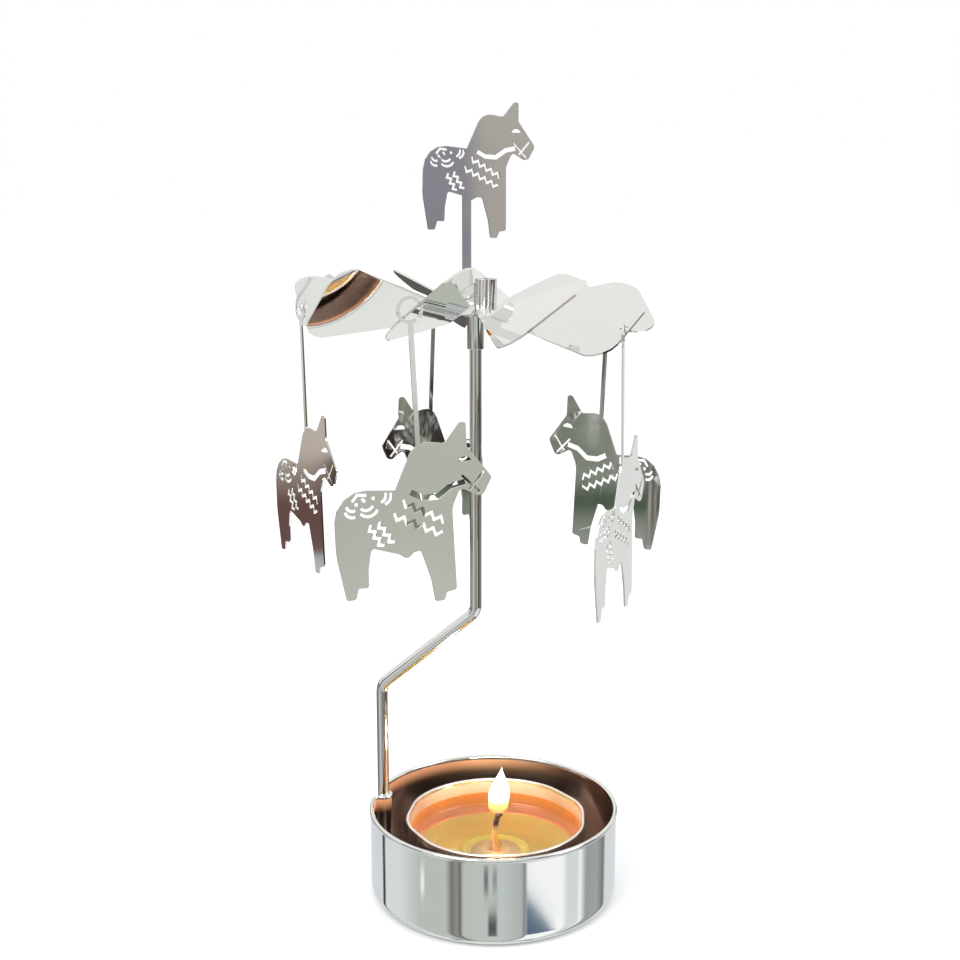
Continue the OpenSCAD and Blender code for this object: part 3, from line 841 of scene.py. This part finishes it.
# %% [markdown]
# ## The flame
#
# The flame is a closed drop that glows by itself. Round the wick it is thin and nearly
# clear, and it grows yellow and then white upwards, so both its glow and its cover are
# a ramp up the height of the drop. A small warm lamp inside it lights the foil.

# %% The flame
flame_foot = wick_high.z - 0.5 * MM
flame_height = 10.1 * MM
flame_width = 2.35 * MM
flame_steps = 24
# How far the flame leans to the right from its foot to its tip
flame_lean = 0.9 * MM
flame_centre = Vector((cup_centre.x + 0.75 * MM, cup_centre.y, 0))


def flame_material():
    material, nodes, links, shader = new_material("flame")
    shader.inputs["Base Color"].default_value = (0.02, 0.01, 0, 1)
    shader.inputs["Roughness"].default_value = 1
    shader.inputs["Specular IOR Level"].default_value = 0
    shader.inputs["Emission Strength"].default_value = 3.5
    up = height_share(nodes, links, flame_foot, flame_foot + flame_height)[0].outputs["Result"]
    glow = colour_ramp(nodes, links, up,
                       [(0, (1.0, 0.50, 0.12)), (1, (1.0, 0.97, 0.90)), (0.24, (1.0, 0.74, 0.20)),
                        (0.36, (1.0, 0.95, 0.75))])
    cover = colour_ramp(nodes, links, up,
                        [(0, (0.06, 0.06, 0.06)), (0.34, (1, 1, 1)), (0.12, (0.22, 0.22, 0.22)),
                         (0.24, (0.5, 0.5, 0.5))])
    # The metal mirrors the flame in a deeper orange than the camera sees it
    path = nodes.new("ShaderNodeLightPath")
    mirrored = mix_colour(nodes, links, path.outputs["Is Glossy Ray"], glow, (1.0, 0.36, 0.10))
    links.new(mirrored, shader.inputs["Emission Color"])
    links.new(cover, shader.inputs["Alpha"])
    return material


def make_flame():
    points = []
    for k in range(flame_steps + 1):
        up = k / flame_steps
        swell = min(1, (up / 0.06) ** 0.5) * (0.78 + 0.9 * up - 1.25 * up * up) * (1 - up ** 5) ** 0.7
        swell = max(0, swell) * min(1, 1.9 * (1 - up)) ** 0.55
        points.append((flame_width * swell if 0 < k < flame_steps else 0, flame_foot + flame_height * up))
    bm = bmesh.new()
    spin_profile(bm, points, flame_centre, steps=48)
    for vert in bm.verts:
        up = (vert.co.z - flame_foot) / flame_height
        vert.co.x += flame_lean * (up - 0.5)
    piece = finish_piece(bm, "candle_flame", flame_material(), "candle")
    piece.visible_shadow = False


make_flame()

flame_light_data = bpy.data.lights.new("flame_light", "POINT")
flame_light_data.energy = 0.085
flame_light_data.color = (1.0, 0.72, 0.40)
flame_light_data.shadow_soft_size = 0.003
flame_light = add_object("flame_light", flame_light_data)
flame_light.location = flame_centre + Vector((0, 0, flame_foot + flame_height * 0.5))
print("flame", round(flame_height / MM, 1), "mm high")


# %% [markdown]
# ## The studio
#
# Plated metal shows its surroundings, so they matter as much as the plate. The camera
# sees white everywhere. The metal sees a room made of upright bands, which are written
# as colours by compass direction. A round wall squeezes the whole compass into its
# width, and so the bands become the fine upright lines on the dish and the rod. The
# room is far away, which keeps those lines straight. The table is white, it takes the
# shadows, and the mirrors don't see it.

# %% The table
table_half = 8


def make_table():
    material = new_material("table")[0]
    plain = material.node_tree.nodes["Principled BSDF"]
    plain.inputs["Base Color"].default_value = (0.90, 0.90, 0.90, 1)
    plain.inputs["Roughness"].default_value = 0.9
    plain.inputs["Specular IOR Level"].default_value = 0.0
    bm = bmesh.new()
    bmesh.ops.create_grid(bm, x_segments=2, y_segments=2, size=table_half)
    piece = add_object("table", mesh_of(bm, "table", material))
    piece.visible_glossy = False
    print("table laid")


make_table()

# %% The bands of the room
PALE = (0.56, 0.60, 0.56)
LIGHT = (0.78, 0.81, 0.80)
LILAC = (0.74, 0.75, 0.80)
DARK = (0.05, 0.05, 0.05)
BRIGHT = (1.1, 1.1, 1.1)
GREY = (0.38, 0.40, 0.39)
# (degrees from the front to the right, colour), as the dish sees it
dish_bands = [(-180, LILAC), (-134, LILAC), (-127, LIGHT), (-125, DARK), (-122, DARK), (-120, LIGHT),
              (-95, LIGHT), (-72, PALE), (-45, PALE), (-39, (0.20, 0.20, 0.18)), (-34, (0.33, 0.33, 0.30)),
              (-31, (0.16, 0.16, 0.15)), (-28, PALE), (8, (0.62, 0.66, 0.63)), (26, (0.50, 0.53, 0.52)),
              (29, (0.15, 0.16, 0.17)), (31, BRIGHT), (66, BRIGHT), (72, LIGHT), (84, LIGHT), (87, BRIGHT),
              (90, LIGHT), (95, GREY), (112, (0.42, 0.44, 0.43)), (124, (0.2, 0.21, 0.2)), (128, LIGHT),
              (165, LILAC)]
# As the rod and the hub see it, from higher up
rod_bands = [(-180, (0.10, 0.09, 0.08)), (-115, (0.18, 0.17, 0.16)), (-75, (0.36, 0.35, 0.33)),
             (-47, (0.74, 0.74, 0.72)), (-28, (0.46, 0.44, 0.41)), (5, (0.28, 0.25, 0.22)),
             (35, (0.20, 0.17, 0.14)), (75, (0.07, 0.055, 0.045)), (105, (0.12, 0.10, 0.09)),
             (140, (0.62, 0.60, 0.57)), (175, (0.30, 0.28, 0.26))]
# Small things that the dish shows, as (from, to, lowest level, highest level, softness,
# colour). A level is the height of a direction, from -1 straight down to 1 straight up.
dish_spots = [(-5, 3, -0.497, -0.482, 1.5, (0.02, 0.02, 0.025)),
              (-9, -5, -0.470, -0.455, 1, (0.12, 0.13, 0.14)),
              (-1, 3, -0.466, -0.458, 1, (0.10, 0.11, 0.12)),
              (-71, -67, -0.470, -0.455, 1.5, BRIGHT)]
# The levels between which one part of the room passes into the next
line_levels = (-0.975, -0.965)
dish_levels = (-0.955, -0.945)
rod_levels = (-0.43, -0.40)
sky_levels = (-0.02, 0.06)
print("bands for the dish", len(dish_bands), "and for the rod", len(rod_bands))


# %% The colours of the room
def blend_step(nodes, links, value, start, end):
    """A share that runs from 0 to 1 while the value runs from start to end."""
    step = nodes.new("ShaderNodeMapRange")
    step.interpolation_type = "SMOOTHSTEP"
    step.inputs["From Min"].default_value = start
    step.inputs["From Max"].default_value = end
    links.new(value, step.inputs["Value"])
    return step.outputs["Result"]


def band_ramp(nodes, links, share, bands):
    """A ramp right round the compass."""
    stops = [((degrees + 180) / 360, colour) for degrees, colour in bands]
    return colour_ramp(nodes, links, share, stops)


def room_directions(nodes, links):
    """Where a ray goes: how far to the front, which way round, and at which level."""
    place = nodes.new("ShaderNodeTexCoord")
    split = nodes.new("ShaderNodeSeparateXYZ")
    links.new(place.outputs["Generated"], split.inputs["Vector"])
    front = nodes.new("ShaderNodeMath")
    front.operation = "MULTIPLY"
    front.inputs[1].default_value = -1
    links.new(split.outputs["Y"], front.inputs[0])
    angle = nodes.new("ShaderNodeMath")
    angle.operation = "ARCTAN2"
    links.new(split.outputs["X"], angle.inputs[0])
    links.new(front.outputs["Value"], angle.inputs[1])
    return front.outputs["Value"], angle.outputs["Value"], split.outputs["Z"]


def room_colour(nodes, links):
    """The colour that metal sees in each direction."""
    front, side, level = room_directions(nodes, links)
    share = nodes.new("ShaderNodeMapRange")
    share.inputs["From Min"].default_value = -pi
    share.inputs["From Max"].default_value = pi
    links.new(side, share.inputs["Value"])

    def patch(side_from, side_to, low, high, soft=1.5):
        """A spot of the room between two directions and two levels."""
        edge = radians(soft)
        parts = [blend_step(nodes, links, side, radians(side_from) - edge, radians(side_from) + edge),
                 blend_step(nodes, links, side, radians(side_to) + edge, radians(side_to) - edge),
                 blend_step(nodes, links, level, low - 0.002, low + 0.002),
                 blend_step(nodes, links, level, high + 0.002, high - 0.002)]
        joined = parts[0]
        for part in parts[1:]:
            joined = times(nodes, links, joined, part)
        return joined

    low = band_ramp(nodes, links, share.outputs["Result"], dish_bands)
    for *spot, colour in dish_spots:
        low = mix_colour(nodes, links, patch(*spot), low, colour)

    # The blue-grey corner under the white band: lower to the right
    slope = nodes.new("ShaderNodeMath")
    slope.operation = "MULTIPLY_ADD"
    slope.inputs[1].default_value = 0.0423
    links.new(side, slope.inputs[0])
    links.new(level, slope.inputs[2])
    corner = times(nodes, links, blend_step(nodes, links, slope.outputs["Value"], -0.4475, -0.4495),
                   patch(30, 60, -0.52, -0.44))
    low = mix_colour(nodes, links, corner, low, (0.10, 0.16, 0.24))

    # What the left blades see of the floor behind
    behind = times(nodes, links, blend_step(nodes, links, front, -0.10, -0.20),
                   blend_step(nodes, links, level, -0.86, -0.89))

    # From straight down to the sky: the floor, a dark line, the dish's bands, the rod's
    middle = band_ramp(nodes, links, share.outputs["Result"], rod_bands)
    past_line = blend_step(nodes, links, level, *line_levels)
    foot = mix_colour(nodes, links, past_line, LIGHT, (0.16, 0.17, 0.17))
    seen = mix_colour(nodes, links, blend_step(nodes, links, level, *dish_levels), foot, low)
    seen = mix_colour(nodes, links, behind, seen, (0.88, 0.90, 0.86))
    seen = mix_colour(nodes, links, blend_step(nodes, links, level, *rod_levels), seen, middle)
    return mix_colour(nodes, links, blend_step(nodes, links, level, *sky_levels), seen, (0.93, 0.92, 0.90))


# %% The room
def make_room():
    world = bpy.data.worlds.new("room")
    bpy.context.scene.world = world
    world.use_nodes = True
    nodes, links = world.node_tree.nodes, world.node_tree.links
    metal_sees = nodes.new("ShaderNodeBackground")
    links.new(room_colour(nodes, links), metal_sees.inputs["Color"])
    lights = nodes.new("ShaderNodeBackground")
    lights.inputs["Color"].default_value = (0.97, 0.98, 1.0, 1)
    lights.inputs["Strength"].default_value = 1.15
    white = nodes.new("ShaderNodeBackground")
    white.inputs["Color"].default_value = (1, 1, 1, 1)
    path = nodes.new("ShaderNodeLightPath")
    glossy = nodes.new("ShaderNodeMixShader")
    shown = nodes.new("ShaderNodeMixShader")
    links.new(path.outputs["Is Glossy Ray"], glossy.inputs["Fac"])
    links.new(lights.outputs["Background"], glossy.inputs[1])
    links.new(metal_sees.outputs["Background"], glossy.inputs[2])
    links.new(path.outputs["Is Camera Ray"], shown.inputs["Fac"])
    links.new(glossy.outputs["Shader"], shown.inputs[1])
    links.new(white.outputs["Background"], shown.inputs[2])
    links.new(shown.outputs["Shader"], nodes["World Output"].inputs["Surface"])
    print("room made")


make_room()


# %% [markdown]
# ## The cards
#
# A photographer stands cards round bright metal to decide what it shows. Each hanging
# sheet mirrors little more than one direction, so a few upright cards per horse set its
# colours: brown for the left one, nearly black for the one behind, grey-green for the
# others. The cards are seen in the metal alone.

# %% How a card is made
card_steps = 12


def make_card(name, side_from, side_to, distance, low, high, stops):
    """An upright curved card between two heights, whose colour changes with the height."""
    bm = bmesh.new()
    row = []
    for k in range(card_steps + 1):
        side = radians(side_from + (side_to - side_from) * k / card_steps)
        row.append(bm.verts.new((distance * sin(side), -distance * cos(side), low)))
    edges = [bm.edges.new(pair) for pair in zip(row, row[1:])]
    lifted = bmesh.ops.extrude_edge_only(bm, edges=edges)["geom"]
    top = [v for v in lifted if isinstance(v, bmesh.types.BMVert)]
    bmesh.ops.translate(bm, vec=(0, 0, high - low), verts=top)
    material, nodes, links = new_material(name)[:3]
    rise = height_share(nodes, links, low, high)[0]
    shares = [((up * MM - low) / (high - low), colour) for up, colour in stops]
    shown = nodes.new("ShaderNodeEmission")
    links.new(colour_ramp(nodes, links, rise.outputs["Result"], shares), shown.inputs["Color"])
    links.new(shown.outputs["Emission"], nodes["Material Output"].inputs["Surface"])
    card = add_object(name, mesh_of(bm, name, material))
    card.visible_camera = False
    card.visible_diffuse = False
    card.visible_shadow = False
    print(name, "from", side_from, "to", side_to, "degrees")


# %% The cards
GREEN_GREY = (0.53, 0.55, 0.49)
SHEEN = (0.75, 0.75, 0.72)
BLACK_BROWN = (0.03, 0.018, 0.018)
MOSS = (0.24, 0.28, 0.22)
card_low = -0.05
card_high = 0.13
card_away = 0.30
# Each stop is a height above the table in millimetres and the colour there
make_card("card_front_right", 17, 34, card_away, card_low, card_high,
          [(-10, (0.60, 0.61, 0.56)), (130, SHEEN), (20, GREEN_GREY), (58, GREEN_GREY), (72, SHEEN)])
make_card("card_left", -130, -108, card_away, card_low, card_high,
          [(-10, (0.60, 0.61, 0.60)), (130, SHEEN), (2, (0.54, 0.54, 0.53)), (5, (0.15, 0.08, 0.075)),
           (25, (0.15, 0.08, 0.07)), (36, (0.32, 0.26, 0.24)), (44, (0.55, 0.48, 0.42)),
           (62, (0.58, 0.52, 0.46)), (80, SHEEN)])
make_card("card_left_nose", -117.4, -108, 0.295, 0.030, 0.044,
          [(30, (0.15, 0.08, 0.07)), (44, (0.10, 0.06, 0.05)), (34, BLACK_BROWN), (41, BLACK_BROWN)])
make_card("card_left_front", -84, -62, card_away, card_low, card_high,
          [(-12, (0.34, 0.36, 0.32)), (130, (0.20, 0.17, 0.15)), (-2, (0.24, 0.27, 0.22)),
           (4, (0.07, 0.10, 0.07)), (9, (0.08, 0.11, 0.08)), (19, (0.28, 0.31, 0.26)),
           (33, (0.20, 0.23, 0.18)), (52, (0.26, 0.28, 0.23)), (66, (0.14, 0.11, 0.10))])
dark_card = [(0, MOSS), (130, (0.20, 0.17, 0.15)), (8, MOSS), (16, BLACK_BROWN), (58, BLACK_BROWN),
             (70, (0.22, 0.19, 0.17))]
make_card("card_right_face", 76, 82.9, card_away, card_low, card_high, dark_card)
make_card("card_right_crest", 82.9, 84.6, card_away, card_low, card_high,
          [(0, MOSS), (130, (0.20, 0.17, 0.15)), (28, BLACK_BROWN), (36, MOSS), (50, (0.30, 0.33, 0.27))])
make_card("card_right_neck", 84.6, 96, card_away, card_low, card_high, dark_card)
# The left horse at the back sees the back of its neighbour, which sees these near cards
make_card("card_near_face", 42.6, 54, 0.10, 0.05, 0.09, [(50, BLACK_BROWN), (90, BLACK_BROWN)])
make_card("card_near_crest", 38.8, 42.6, 0.10, 0.05, 0.09,
          [(50, BLACK_BROWN), (90, (0.36, 0.40, 0.33)), (68, BLACK_BROWN), (72, (0.30, 0.34, 0.27))])
make_card("card_near_neck", 28, 38.8, 0.10, 0.05, 0.09, [(50, BLACK_BROWN), (90, BLACK_BROWN)])
make_card("card_back_moss", 139, 150, 0.36, card_low, card_high,
          [(0, (0.26, 0.29, 0.24)), (130, (0.30, 0.33, 0.28))])
make_card("card_back", 124, 139, 0.36, card_low, card_high,
          [(0, (0.84, 0.85, 0.84)), (130, (0.90, 0.90, 0.89))])

# The top horse stands higher and so sees higher cards
make_card("card_top_left", 36, 43.2, 0.30, 0, 0.21,
          [(0, (0.42, 0.41, 0.42)), (210, (0.33, 0.32, 0.36)), (126, (0.27, 0.26, 0.31))])
make_card("card_top_right", 43.2, 50, 0.30, 0, 0.21,
          [(0, (0.45, 0.43, 0.40)), (210, (0.50, 0.48, 0.43)), (126, (0.46, 0.43, 0.40))])

# The front blade looks past the dish, down behind it
for name, side_from, side_to, colour in (("card_blade_moss", 158, 165.2, (0.50, 0.53, 0.46)),
                                         ("card_blade_dark", 165.2, 166.1, (0.10, 0.10, 0.09)),
                                         ("card_blade_pale", 166.1, 176, (0.88, 0.88, 0.85))):
    make_card(name, side_from, side_to, 0.30, -0.08, 0.0, [(-80, colour), (0, colour)])


# %% [markdown]
# ## The lamps
#
# Two soft lamps light what isn't a mirror: the wax, the wick and the table. One stands
# high at the left and the other lower at the right, and both face the carousel's middle.

# %% The lamps
lamp_aim = Vector((0, 0, 0.08))


def soft_lamp(name, place, size, energy):
    data = bpy.data.lights.new(name, "AREA")
    data.shape = "RECTANGLE"
    data.size, data.size_y = size
    data.energy = energy
    lamp = add_object(name, data)
    lamp.location = place
    lamp.rotation_euler = (lamp_aim - Vector(place)).to_track_quat("-Z", "Y").to_euler()
    print(name, energy, "W")


soft_lamp("key", (-0.5, -0.5, 0.9), (0.5, 0.5), 4.5)
soft_lamp("fill", (0.7, -0.2, 0.5), (0.4, 0.6), 2.0)
bpy.context.scene.view_settings.view_transform = "Standard"
